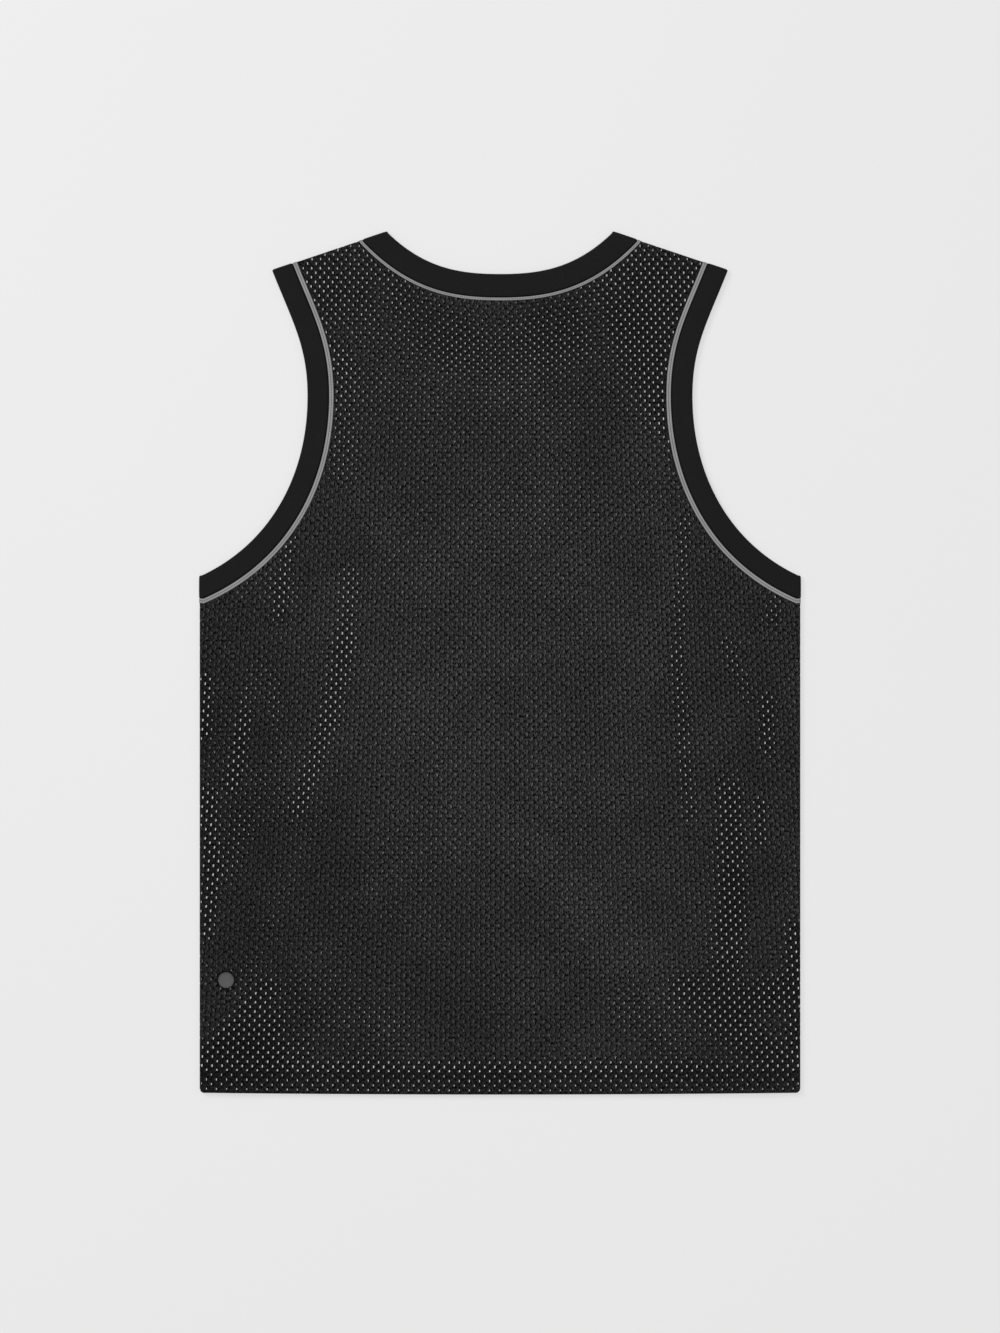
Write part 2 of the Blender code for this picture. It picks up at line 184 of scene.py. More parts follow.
# Where the front's holes lie under the back's, light comes through both.
# from x, from y, to x, to y, half width, strength; below 0 they lie further apart
REGISTER = [# the long stripe on the left
            (-0.132, 0.075, -0.136, 0.020, 0.0100, 0.64),
            (-0.136, 0.020, -0.150, -0.050, 0.0100, 0.84),
            (-0.150, -0.050, -0.178, -0.128, 0.0086, 0.76),
            # narrow stripes by the left side
            (-0.211, 0.007, -0.224, -0.050, 0.0080, 0.48),
            (-0.224, -0.050, -0.236, -0.108, 0.0072, 0.80),
            (-0.183, 0.117, -0.196, 0.042, 0.0056, 0.70),
            (-0.259, -0.014, -0.259, -0.062, 0.0060, 0.90),
            (-0.257, -0.116, -0.253, -0.182, 0.0085, 0.90),
            (-0.253, -0.182, -0.258, -0.238, 0.0075, 0.85),
            # the lower left corner
            (-0.205, -0.286, -0.246, -0.334, 0.0092, 0.90),
            (-0.214, -0.322, -0.242, -0.346, 0.0150, 1.00),
            (-0.206, -0.338, -0.256, -0.346, 0.0130, 1.00),
            (-0.202, -0.316, -0.202, -0.346, 0.0130, 0.72),
            (-0.176, -0.342, -0.190, -0.348, 0.0120, 0.60),
            # along the hem
            (-0.262, -0.360, 0.262, -0.360, 0.0110, 0.90),
            (-0.262, -0.382, 0.262, -0.382, 0.0210, 0.66),
            # the thin stripe on the right, then the broad one down to the corner
            (0.163, 0.126, 0.156, 0.007, 0.0065, 0.60),
            (0.156, 0.007, 0.167, -0.134, 0.0070, 0.66),
            (0.2024, -0.114, 0.204, -0.160, 0.0130, 1.00),
            (0.204, -0.160, 0.204, -0.230, 0.0145, 1.00),
            (0.204, -0.230, 0.198, -0.280, 0.0165, 1.00),
            (0.166, -0.290, 0.240, -0.346, 0.0200, 1.00),
            (0.205, -0.300, 0.258, -0.290, 0.0180, 1.00),
            (0.262, -0.236, 0.262, -0.356, 0.0130, 1.00),
            # narrow stripes by the right side
            (0.235, -0.033, 0.236, -0.075, 0.0075, 0.85),
            (0.229, -0.124, 0.229, -0.156, 0.0070, 0.85),
            (0.242, 0.055, 0.240, 0.040, 0.0080, 0.55),
            (0.200, 0.015, 0.218, -0.030, 0.0075, 0.45),
            # faint patches beside all these
            (-0.244, 0.078, -0.190, 0.064, 0.0160, 0.36),
            (0.115, -0.305, 0.150, -0.335, 0.0200, 0.35),
            (-0.190, -0.296, -0.110, -0.330, 0.0380, 0.30),
            (-0.262, -0.296, -0.246, -0.300, 0.0110, -0.30),
            (-0.204, -0.010, -0.200, -0.040, 0.0100, 0.30),
            (-0.226, -0.140, -0.240, -0.180, 0.0120, 0.30),
            # the left shoulder, below the neck and the right shoulder
            (-0.176, 0.350, -0.105, 0.335, 0.0380, 0.60),
            (-0.160, 0.330, -0.142, 0.270, 0.0240, 0.54),
            (-0.142, 0.270, -0.137, 0.170, 0.0150, 0.42),
            (-0.100, 0.310, -0.040, 0.285, 0.0300, 0.54),
            (-0.040, 0.285, 0.050, 0.280, 0.0260, 0.42),
            (0.040, 0.290, 0.120, 0.310, 0.0330, 0.70),
            (-0.110, 0.255, 0.110, 0.250, 0.0420, 0.28),
            (0.110, 0.340, 0.175, 0.320, 0.0420, 0.88),
            (0.120, 0.300, 0.152, 0.225, 0.0300, 0.88),
            (0.150, 0.230, 0.166, 0.180, 0.0150, 0.85),
            # dark creases at the shoulders and dark strips beside the stripes
            (-0.108, 0.330, -0.098, 0.300, 0.0070, -0.45),
            (-0.142, 0.292, -0.118, 0.264, 0.0070, -0.35),
            (0.085, 0.310, 0.088, 0.284, 0.0070, -0.40),
            (-0.216, 0.110, -0.212, -0.080, 0.0100, -0.30),
            (-0.200, -0.160, -0.240, -0.250, 0.0180, -0.40),
            (-0.150, -0.180, -0.190, -0.260, 0.0240, -0.25),
            (0.218, -0.060, 0.225, -0.110, 0.0090, -0.35),
            (0.236, -0.180, 0.226, -0.235, 0.0120, -0.40)]
SLIP = 0.00104              # how far to the left of the back's the front's lie elsewhere
SLIP_LEFT = 0.00018         # and how much further that is at the left side
SLIP_LEFT_OVER = 0.18       # width over which this comes on, from the middle
# The distance and its heading drift in waves of unlike lengths, given over 2 pi.
SLIP_DRIFT = 0.00010
DRIFT_ACROSS, DRIFT_ALONG, DRIFT_SLANT = 0.031, 0.039, 0.060
DRIFT_SWAY, DRIFT_SWAY_ALONG, DRIFT_START = 1.7, 0.047, 0.8
TURN_ALONG, TURN_ACROSS, TURN_START = 0.11, 0.09, 1.0
TURN_BY_ALONG, TURN_BY_ACROSS = 0.35, 0.25          # radians

# ---- Painted shade: how much darker the knit's colour is painted than in the middle of the back ----
SIDE_SHADE = 0.22
SIDE_SHADE_FROM = 0.10      # from the centre line
SIDE_SHADE_OVER = 0.14      # width over which it comes on
LOW_SHADE = 0.22            # low on the left
LOW_SHADE_FROM = 0.10       # along the slope down to the left
LOW_SHADE_OVER = 0.25
TOP_SHADE = 0.15            # towards the shoulders
TOP_SHADE_OVER = 0.25
DRAWN_SHADE = 0.52          # where the front's holes lie under the back's
BOND_SHADE = 0.80           # round the disc, where it is bonded on
BOND_WIDTH = 0.004

# ---- Stitching of the hem ----
STITCH_LINE = 0.0176        # above the hem's edge
STITCH_PITCH = 0.0032
STITCH_LENGTH = 0.0027
STITCH_ROW_END = 0.003      # the row stops this far from the sides' fold lines
THREAD_RADIUS = 0.00022
THREAD_TAPER = 0.45         # share of its radius that a stitch loses at its ends
THREAD_DEPTH = 0.00004      # how far the middle of a stitch is drawn into the knit
THREAD_DIVE = 0.00060       # and how much further its ends are
THREAD_SIDES = 6
THREAD_RINGS = 5

# ---- Blank disc ----
DISC_CENTRE = (-0.2410, -0.2792)
DISC_RADIUS = 0.0070
DISC_WALL = 0.0009
DISC_TOP = STACK + GAP + DISC_WALL
DISC_DISH = 0.00023         # its middle lies this much below its rim
DISC_FOOT = 0.0014          # its edge runs down this far below its rim, into the mesh
DISC_SIDES = 96

Fold = namedtuple("Fold", "start along out")
Edge = namedtuple("Edge", "base across")            # a row of places and cross lines
Ring = namedtuple("Ring", "base across turn out")   # the same, with each one's turn
OVER = 0.0                  # turn on the back
UNDER = math.pi             # turn on the front


# ---- The form of the cloth ----
def plan(point):
    """Place in plan of a point given as x and drop."""
    return np.array((point[0], LENGTH / 2 - point[1]))


def shoulder_fold():
    """Line about which the cloth goes over the right shoulder."""
    neck = plan(NECK_POINT)
    along = plan(SHOULDER_TIP) - neck
    along /= np.linalg.norm(along)
    out = np.array((-along[1], along[0]))
    return Fold(neck - out * FOLD_RADIUS, along, out)


SHOULDER = shoulder_fold()
SIDE = Fold(np.array((HALF_WIDTH - FOLD_RADIUS, 0.0)), np.array((0.0, -1.0)), np.array((1.0, 0.0)))
SEAM_ARC = FOLD_RADIUS * math.pi / 2                # from a fold line to its seam
SEAM_X = SIDE.start[0] + SEAM_ARC


def smooth(share):
    """From 0 to 1 with level ends."""
    share = np.clip(share, 0, 1)
    return share * share * (3 - 2 * share)


def nearness(spots, ends, half_width, power=2):
    """1 on the line between two places, fading to 0 past its half width."""
    start, end = np.array(ends[:2]), np.array(ends[2:])
    run = end - start
    share = np.clip((spots - start) @ run / (run @ run), 0, 1)
    away = np.linalg.norm(spots - start - share[:, None] * run, axis=1)
    return np.exp(-(away / half_width) ** power)


def raised(spots, table):
    """Height that a table of swells or creases gives, calm near the sides and shoulders."""
    total = sum(height * nearness(spots, ends, half_width)
                for *ends, half_width, height in table)
    right = np.column_stack((abs(spots[:, 0]), spots[:, 1]))
    for fold in (SHOULDER, SIDE):
        total *= smooth((fold.start - right) @ fold.out / CALM_EDGE)
    return total


def place(base, depth, turn, out):
    """Points of the cloth in space."""
    radius = FOLD_RADIUS - depth
    spots = base + out * (radius * np.sin(turn))[:, None]
    height = FOLD_RADIUS + radius * np.cos(turn)
    height += np.where(turn == OVER, raised(spots, SWELLS + CREASES), 0)
    height += np.where(turn == UNDER, raised(spots, FRONT_CREASES), 0)
    return np.column_stack((spots, height))


# ---- Edges: the neckline and the armholes ----
def walk(spans, folds, step):
    """Evenly spaced places on a curve, cut off at the fold lines at its ends."""
    t = np.linspace(0, 1, CURVE_SAMPLES)[:, None]
    trail = np.concatenate([plan(a) * (1 - t) ** 3 + plan(b) * 3 * (1 - t) ** 2 * t
                            + plan(c) * 3 * (1 - t) * t * t + plan(d) * t ** 3
                            for a, b, c, d in spans])
    past = np.array([(trail - fold.start) @ fold.out for fold in folds])
    trail = trail[(past <= 0).all(axis=0)]
    for fold, end in zip(folds, (0, -1)):
        trail[end] -= fold.out * ((trail[end] - fold.start) @ fold.out)
    reach = np.concatenate(([0], np.cumsum(np.linalg.norm(np.diff(trail, axis=0), axis=1))))
    wanted = np.linspace(0, reach[-1], round(reach[-1] / step) + 1)
    return np.column_stack([np.interp(wanted, reach, column) for column in trail.T])


def edge(spans, cloth_side, start_along, ends_at_side, step):
    """Places on an edge and the cross lines of its trim, which swing into the folds."""
    spots = walk(spans, [SHOULDER, SIDE] if ends_at_side else [SHOULDER], step)
    way = np.gradient(spots, axis=0)
    normal = np.column_stack((-way[:, 1], way[:, 0])) * cloth_side
    normal /= np.linalg.norm(normal, axis=1)[:, None]
    if not ends_at_side:
        normal[-1] = (0.0, -1.0)
    gone = np.arange(len(spots)) * np.linalg.norm(spots[1] - spots[0])
    swing = np.clip(1 - gone / CROSS_SWING, 0, 1)[:, None] ** 2
    across = normal + (start_along - normal) * swing
    if ends_at_side:
        swing = swing[::-1]
        across = across + (SIDE.along - across) * swing
    return Edge(spots, across / (across * normal).sum(axis=1)[:, None])


def neck_edge(step):
    return edge(NECKLINE, 1, SHOULDER.along, False, step)


def arm_edge(step):
    return edge(ARMHOLE, -1, -SHOULDER.along, True, step)


def laid(row, turn):
    """An edge's stations on the back or on the front."""
    count = len(row.base)
    return Ring(row.base, row.across, np.full(count, turn), np.zeros((count, 2)))


def bent(row, end, fold, turns):
    """Stations round the fold at one end of an edge."""
    count = len(turns)
    return Ring(np.tile(row.base[end], (count, 1)), np.tile(row.across[end], (count, 1)),
                np.array(turns), np.tile(fold.out, (count, 1)))


def joined(*rings):
    return Ring(*(np.concatenate(columns) for columns in zip(*rings)))


def backwards(ring):
    return Ring(*(column[::-1] for column in ring))


def mirrored(ring):
    flip = np.array((-1.0, 1.0))
    return Ring(ring.base * flip, ring.across * flip, ring.turn, ring.out * flip)


FOLD_TURNS = np.linspace(OVER, UNDER, FOLD_STATIONS + 2)[1:-1]


def neck_ring(step):
    """Round the neck, from the middle of the back over the shoulders to the front."""
    row = neck_edge(step)
    right = joined(backwards(laid(row, OVER)), bent(row, 0, SHOULDER, FOLD_TURNS),
                   laid(row, UNDER))
    inner = Ring(*(column[1:-1] for column in right))
    return joined(right, backwards(mirrored(inner)))


def arm_ring(hand, step):
    """Round an armhole: down the back, under the arm, up the front, over the shoulder."""
    row = arm_edge(step)
    ring = joined(laid(row, OVER), bent(row, -1, SIDE, FOLD_TURNS),
                  backwards(laid(row, UNDER)), backwards(bent(row, 0, SHOULDER, FOLD_TURNS)))
    return ring if hand > 0 else mirrored(ring)


def station_gaps(ring):
    """Distances along the edge, from each station of a ring to the next."""
    steps = np.linalg.norm(np.roll(ring.base, -1, axis=0) - ring.base, axis=1)
    arcs = abs(np.roll(ring.turn, -1) - ring.turn) * FOLD_RADIUS
    return np.maximum(steps, arcs)


# ---- Making pieces ----
def put(name, data):
    """A new object in the scene."""
    thing = bpy.data.objects.new(name, data)
    bpy.context.scene.collection.objects.link(thing)
    return thing


def make(name, points, faces, materials, replaced=None, choices=None):
    """A named smooth mesh that rides with the body. choices gives each face's material."""
    mesh = bpy.data.meshes.new(name)
    mesh.from_pydata(np.asarray(points).tolist(), [], faces)
    for material in materials:
        mesh.materials.append(material)
    if choices is not None:
        mesh.polygons.foreach_set("material_index", choices)
    mesh.shade_smooth()
    piece = put(name, mesh)
    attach(piece, BODY)
    if replaced:
        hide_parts(replaced)
    return piece


def corners(near, far, column, count):
    """Of the face between two rows of points, from one column to the next."""
    other = (column + 1) % count
    return near + column, near + other, far + other, far + column


def strip_map(piece, ring, widths):
    """UV map of a strip: metres along it and metres across it."""
    along = np.concatenate(([0], np.cumsum(station_gaps(ring))))
    layer = piece.data.uv_layers.new(name="strip")
    count = len(widths)
    for polygon in piece.data.polygons:
        first = min(piece.data.loops[k].vertex_index // count for k in polygon.loop_indices)
        last = max(piece.data.loops[k].vertex_index // count for k in polygon.loop_indices)
        for k in polygon.loop_indices:
            station, column = divmod(piece.data.loops[k].vertex_index, count)
            if last - first > 1 and station == 0:
                station = len(ring.base)
            layer.data[k].uv = (along[station], widths[column])


def strip(name, node, ring, profile, closed, materials, choice=lambda column: 0):
    """A strip swept round a ring of stations. profile(k) is its width and depth pairs."""
    stations = len(ring.base)
    sections = np.array([profile(k) for k in range(stations)])
    count = sections.shape[1]
    points = np.empty((stations, count, 3))
    for column in range(count):
        width, depth = sections[:, column, 0], sections[:, column, 1]
        points[:, column] = place(ring.base + ring.across * width[:, None], depth,
                                  ring.turn, ring.out)
    faces, choices = [], []
    for k in range(stations):
        near, far = k * count, (k + 1) % stations * count
        for column in range(count if closed else count - 1):
            faces.append(corners(near, far, column, count))
            choices.append(choice(column))
    piece = make(name, points.reshape(-1, 3), faces, materials, node, choices)
    strip_map(piece, ring, np.cumsum(np.concatenate(([0], np.linalg.norm(
        np.diff(sections[0], axis=0), axis=1)))))
    return piece


# ---- Mesh panels, worked out on their flat cut ----
def hem_edge(x):
    """y of the hem's edge: it sags in the middle and is rounded at its ends."""
    height = HEM_RISE * (x / HALF_WIDTH) ** 2 - LENGTH / 2
    rolled = np.clip(abs(x) - SIDE.start[0], 0, SEAM_ARC)
    seen = abs(x) - rolled + FOLD_RADIUS * np.sin(rolled / FOLD_RADIUS)
    past = np.clip(seen - (HALF_WIDTH - HEM_CORNER), 0, HEM_CORNER)
    return height + HEM_CORNER - np.sqrt(HEM_CORNER ** 2 - past ** 2)


def rolled_out(ring, width):
    """Places on the flat cut of points on the cross lines."""
    arc = FOLD_RADIUS * np.minimum(ring.turn, math.pi - ring.turn)
    return ring.base + ring.across * width + ring.out * arc[:, None]


def spaced(start, end, step):
    """Places from start to end, both included."""
    count = max(round(np.linalg.norm(end - start) / step), 1)
    return start + (end - start) * np.linspace(0, 1, count + 1)[:, None]


def panel_outline():
    """The cut's edge, from the middle of the turned-up hem round the right half and back."""
    arm, neck = arm_edge(OUTLINE_STEP), neck_edge(OUTLINE_STEP)
    arm_width = ARM_BAND + ARM_PIPING + 2 * GAP - UNDER_PIPING
    neck_width = NECK_BAND + NECK_PIPING + 2 * GAP - UNDER_PIPING
    turns = np.radians((0, 22.5, 45, 67.5, 90))
    foot_x = np.concatenate((np.arange(0, SIDE.start[0] - OUTLINE_STEP / 2, OUTLINE_STEP),
                             SIDE.start[0] + SEAM_ARC * np.linspace(0, 1, 6)))
    foot = np.column_stack((foot_x, hem_edge(foot_x) - HEM_DEPTH - HEM_BEND * (math.pi - 1)))
    under = rolled_out(bent(arm, -1, SIDE, turns[::-1]), arm_width)
    armhole = rolled_out(backwards(laid(arm, OVER)), arm_width)[1:-1]
    over = rolled_out(bent(arm, 0, SHOULDER, turns), arm_width)
    collar = rolled_out(bent(neck, 0, SHOULDER, turns[::-1]), neck_width)
    neckline = rolled_out(laid(neck, OVER), neck_width)[1:]
    side = spaced(foot[-1], under[0], OUTLINE_STEP)[1:-1]
    shoulder = spaced(over[-1], collar[0], OUTLINE_STEP)[1:-1]
    half = np.concatenate((foot, side, under, armhole, over, shoulder, collar, neckline))
    left = half[1:-1][::-1] * (-1, 1)
    return np.concatenate((half, left))


def bend_spots():
    """Places along the lines where the cloth bends round its folds and at its hem."""
    rows = []
    for share in (0, 0.25, 0.5, 0.75):
        x = SIDE.start[0] + SEAM_ARC * share
        top = plan(UNDERARM)[1] - ARM_BAND
        side = spaced(np.array((x, -LENGTH / 2 - HEM_DEPTH)), np.array((x, top)), BEND_STEP)
        start = SHOULDER.start + SHOULDER.out * (SEAM_ARC * share)
        length = np.linalg.norm(plan(SHOULDER_TIP) - plan(NECK_POINT))
        shoulder = spaced(start, start + SHOULDER.along * length, BEND_STEP)
        rows += [side, side * (-1, 1), shoulder, shoulder * (-1, 1)]
    x = np.linspace(-SEAM_X, SEAM_X, round(2 * SEAM_X / BEND_STEP))
    for share in (0, 0.25, 0.5, 0.75, 1):
        rows.append(np.column_stack((x, hem_edge(x) + HEM_BEND * (1 - math.pi * share))))
    return np.concatenate(rows)


def clear_inside(spots, outline, margin):
    """Which places lie inside an outline, further than the margin from it."""
    ends = np.roll(outline, -1, axis=0)
    run = ends - outline
    away = spots[:, None] - outline
    share = np.clip((away * run).sum(axis=2) / (run * run).sum(axis=1), 0, 1)
    near = np.linalg.norm(away - share[..., None] * run, axis=2).min(axis=1)
    level = spots[:, 1:]
    spans = (outline[:, 1] > level) != (ends[:, 1] > level)
    rise = np.where(run[:, 1] == 0, 1, run[:, 1])
    crossing = outline[:, 0] + run[:, 0] * (level - outline[:, 1]) / rise
    inside = (spans & (spots[:, :1] < crossing)).sum(axis=1) % 2 == 1
    return inside & (near > margin)


def knit_place(columns, row):
    """Places on the cut of points of the knit, counted in holes across and rows up."""
    y = FIRST_ROW - LENGTH / 2 + row * ROW
    x = columns * (PITCH - PITCH_SPREAD * np.maximum(y, HEM_SEAM))
    y = y + HEM_RISE * (x / HALF_WIDTH) ** 2 * smooth(-y * 2 / LENGTH)
    dip = NECK_DIP * np.exp(-(x / NECK_DIP_WIDTH) ** 2) * smooth((y - NECK_DIP_FROM) / NECK_DIP_RISE)
    return np.column_stack((x, y - dip))


def register(spots):
    """How closely the front's holes lie under the back's: 1 right under them."""
    apart = np.ones(len(spots))
    pushed = np.zeros(len(spots))
    for *ends, half_width, strength in REGISTER:
        share = strength * nearness(spots, ends, half_width, power=3)
        if strength > 0:
            apart *= 1 - share
        else:
            pushed -= share
    return 1 - apart - pushed


def slipped(spots):
    """How far the front's knit lies beside the back's at some places."""
    x, y = spots.T
    drawn = register(spots)
    far = (SLIP + SLIP_LEFT * smooth(-x / SLIP_LEFT_OVER)) * (1 - drawn)
    drift = (np.sin(x / DRIFT_ACROSS + DRIFT_SWAY * np.sin(y / DRIFT_SWAY_ALONG))
             * np.sin(y / DRIFT_ALONG + x / DRIFT_SLANT + DRIFT_START))
    far += SLIP_DRIFT * drift * (drawn < 0.5)
    heading = (TURN_BY_ALONG * np.sin(y / TURN_ALONG)
               + TURN_BY_ACROSS * np.sin(x / TURN_ACROSS + TURN_START))
    return np.column_stack((-far * np.cos(heading), far * np.sin(heading)))


def hole_scale(spots):
    """Share of full size: holes draw closed below the neck and open along the hem's seam."""
    taut = nearness(spots, TAUT, TAUT_REACH)
    seam = nearness(spots, (-HALF_WIDTH, HEM_SEAM, HALF_WIDTH, HEM_SEAM), HEM_SEAM_REACH)
    return 1 - TAUT_LOSS * taut + HEM_SEAM_GAIN * seam


def hole_lean(spots):
    """How far a hole's top leans to the right, for its height."""
    return LEAN + LEAN_MORE * nearness(spots, LEAN_MOST, LEAN_REACH)


def knit_layout(outline, under):
    """Places of the knit on the cut, each with its rise, and the holes' own corners."""
    chance = random.Random(FRONT_SEED if under else BACK_SEED)
    spots, rises, holes = [*outline], [-RIM_FALL] * len(outline), []

    def keep(places, rise):
        spots.extend(places)
        rises.extend([rise] * len(places))

    def moved(places):
        return places + slipped(places) if under else places

    widest = round(HALF_WIDTH / (PITCH - PITCH_SPREAD * LENGTH / 2)) + 1
    for row in range(-ROWS_TURNED_UP, round(LENGTH / ROW) + ROWS_TO_SPARE):
        columns = np.arange(-widest, widest + 1) + row % 2 / 2
        centres = moved(knit_place(columns, row))
        centres = centres + [[chance.uniform(-HOLE_STRAY, HOLE_STRAY) for _ in "xy"]
                             for _ in columns]
        in_bend = abs(centres[:, 1] - hem_edge(centres[:, 0])) < HOLE_HALF_HEIGHT + HEM_BEND
        centres = centres[clear_inside(centres, outline, HOLE_MARGIN) & ~in_bend]
        sizes, leans = hole_scale(centres), hole_lean(centres)
        for centre, size, lean in zip(centres, sizes, leans):
            size *= chance.uniform(*HOLE_SIZES)
            fullness = chance.uniform(*WALE_FULLNESS)
            holes.append(list(range(len(spots), len(spots) + len(HOLE_CORNERS))))
            for right, up, rise in HOLE_CORNERS:
                corner = (size * (right * HOLE_HALF_WIDTH + up * lean * HOLE_HALF_HEIGHT),
                          size * up * HOLE_HALF_HEIGHT)
                keep([centre + corner], rise * fullness if rise > 0 else rise)
            keep([centre - (size * HOLE_HALF_WIDTH + WALE_WIDTH, 0)], KNOT_RISE)
        # points of the knit between the holes, in columns right and rows up from each
        for right, up in ((0.5, 0), (0.25, 0.5), (-0.25, 0.5)):
            places = moved(knit_place(columns + right, row + up))
            keep(places[clear_inside(places, outline, WEB_MARGIN)], KNOT_RISE)
    bends = bend_spots()
    keep(bends[clear_inside(bends, outline, BEND_MARGIN)], 0.0)
    return spots, np.array(rises), holes


def on_garment(cut, rise, under):
    """Points in space for places on the cut: the hem turned up, the sides rolled round."""
    x, y = abs(cut[:, 0]), cut[:, 1]
    bend = hem_edge(x) + HEM_BEND
    past = bend - y
    angle = np.clip(past / HEM_BEND, 0, math.pi)
    inner = np.maximum(past - math.pi * HEM_BEND - HEM_TAKE, 0) * HEM_DRAWN
    y = np.where(past < 0, y, bend - HEM_BEND * np.sin(angle) + inner)
    depth = PLY_DEPTH + HEM_BEND * (1 - np.cos(angle)) - rise * np.cos(angle)
    spots = np.column_stack((x, y))
    turn, out = np.zeros(len(cut)), np.zeros((len(cut), 2))
    for fold in (SIDE, SHOULDER):
        beyond = (spots - fold.start) @ fold.out
        over = beyond > 0
        turn[over] = beyond[over] / FOLD_RADIUS
        out[over] = fold.out
        spots[over] -= beyond[over, None] * fold.out
    depth += SEAM_DITCH * smooth((turn - math.pi / 3) / (math.pi / 6))
    flip = np.column_stack((np.where(cut[:, 0] < 0, -1, 1), np.ones(len(cut))))
    return place(spots * flip, depth, math.pi - turn if under else turn, out * flip)


def painted_light_share(spots):
    """Share of full light painted into the knit's colour, as painted shade: less at the sides, low
    on the left, towards the shoulders, where the front's holes lie under the back's, and round the
    disc.
    """
    x, y = spots.T
    light = 1 - SIDE_SHADE * smooth((abs(x) - SIDE_SHADE_FROM) / SIDE_SHADE_OVER)
    light *= 1 - LOW_SHADE * smooth((-LOW_SHADE_FROM - x - y) / LOW_SHADE_OVER)
    light *= 1 - DRAWN_SHADE * np.clip(register(spots), 0, 1)
    light *= 1 - TOP_SHADE * smooth(y / TOP_SHADE_OVER)
    from_disc = np.linalg.norm(spots - DISC_CENTRE, axis=1) - DISC_RADIUS
    return light * (1 - BOND_SHADE + BOND_SHADE * smooth(from_disc / BOND_WIDTH))


def panel(name, node, under, material):
    """One mesh panel, a single sheet with its real holes, and the flat area of its cut."""
    outline = panel_outline()
    spots, rises, holes = knit_layout(outline, under)
    inside_only = 1
    cut = delaunay_2d_cdt([Vector(spot) for spot in spots], [],
                          [list(range(len(outline)))] + holes, inside_only, MERGE)
    flat, triangles, sources, owners = np.array(cut[0]), cut[2], cut[3], cut[5]
    rise = np.array([rises[source[0]] if source else 0.0 for source in sources])
    # the cloth is what lies inside the outline alone, and not inside a hole as well
    cloth = [triangle for triangle, owner in zip(triangles, owners) if list(owner) == [0]]
    used = sorted({corner for triangle in cloth for corner in triangle})
    number = {corner: k for k, corner in enumerate(used)}
    faces = [tuple(number[corner] for corner in triangle) for triangle in cloth]
    if under:
        faces = [face[::-1] for face in faces]
    points = on_garment(flat[used], rise[used], under)
    piece = make(name, points, faces, [material], node)
    # the knit's rise, painted lighter on its wales as painted highlight, and its share of light,
    # painted in as painted shade
    for label, values in (("relief", (rise[used] + RIM_FALL) / (WALE_RISE + RIM_FALL)),
                          ("painted_light_share", painted_light_share(flat[used]))):
        layer = piece.data.attributes.new(label, "FLOAT", "POINT")
        layer.data.foreach_set("value", values)
    x, y = outline.T
    return piece, float(abs(x @ np.roll(y, -1) - y @ np.roll(x, -1)) / 2)


# ---- Bands, piping, stitching and disc ----
def band_profile(width):
    """Half of the double band, from the seam to the folded edge, then back below it:
    each point's width from that edge and its depth."""
    outer = [(width + SEAM_ALLOWANCE, 0.00096), (width + GAP, 0.00090), (width, 0.00060),
             (width - 0.0003, 0.00028), (width - 0.0010, 0.00014),
             (0.75 * width, 0.00008), (0.5 * width, 0.00006), (0.25 * width, 0.00008),
             (0.0016, 0.00016), (0.0008, 0.00034), (0.0002, 0.00068)]
    inner = [(w, BAND_WALL - depth) for w, depth in reversed(outer)]
    return outer + [(0.0, BAND_WALL / 2)] + inner


def band(name, node, ring, width, material):
    profile = band_profile(width)
    return strip(name, node, ring, lambda k: profile, False, [material])


def piping(name, node, ring, band_width, width, tape, painted_groove_shade):
    """Two soft ridges with a sewn line sunk between them, whose faces take a darker tape as painted
    shade. Points are given as shares of the tape's width, and depths."""
    start = band_width + GAP + TAPE_INSET
    width -= 2 * TAPE_INSET
    below = [(0.7, 0.00064), (0.3, 0.00064)]

    def profile(k):
        sunk = SEWN_LINE[k % 2]
        top = [(0.0, 0.00052), (0.06, 0.00030), (0.20, 0.00018), (0.34, 0.00020),
               (0.44, 0.00028), (0.5, sunk), (0.56, 0.00028), (0.66, 0.00020),
               (0.80, 0.00018), (0.94, 0.00030), (1.0, 0.00052)]
        return [(start + share * width, depth) for share, depth in top + below]

    # the sewn line's faces take the darker tape as painted shade
    return strip(name, node, ring, profile, True, [tape, painted_groove_shade],
                 lambda column: int(column in SEWN_COLUMNS))


def hem_stitches(name, turn, material):
    """A row of thread stitches that holds the turned-up hem."""
    points, faces = [], []
    sides, rings = THREAD_SIDES, THREAD_RINGS
    row_half = SIDE.start[0] - STITCH_ROW_END
    for number in range(round(2 * row_half / STITCH_PITCH)):
        middle = (number + 0.5) * STITCH_PITCH - row_half
        first = len(points)
        for k in range(rings):
            share = k / (rings - 1) * 2 - 1
            x = middle + share * STITCH_LENGTH / 2
            sunk = THREAD_DEPTH + THREAD_DIVE * share ** 4
            radius = THREAD_RADIUS * (1 - THREAD_TAPER * share ** 4)
            middle_depth = PLY_DEPTH - WALE_RISE / 2 + sunk - THREAD_RADIUS
            for side in range(sides):
                angle = 2 * math.pi * side / sides
                y = hem_edge(x) + STITCH_LINE + radius * math.sin(angle)
                depth = middle_depth - radius * math.cos(angle)
                points.append(place(np.array([[x, y]]), np.array([depth]), np.array([turn]),
                                    np.zeros((1, 2)))[0])
        for k in range(rings - 1):
            for side in range(sides):
                other = (side + 1) % sides
                near, far = first + k * sides, first + (k + 1) * sides
                faces.append((near + side, far + side, far + other, near + other))
        faces.append(tuple(first + side for side in range(sides)))
        faces.append(tuple(first + (rings - 1) * sides + side for side in reversed(range(sides))))
    return make(name, points, faces, [material])


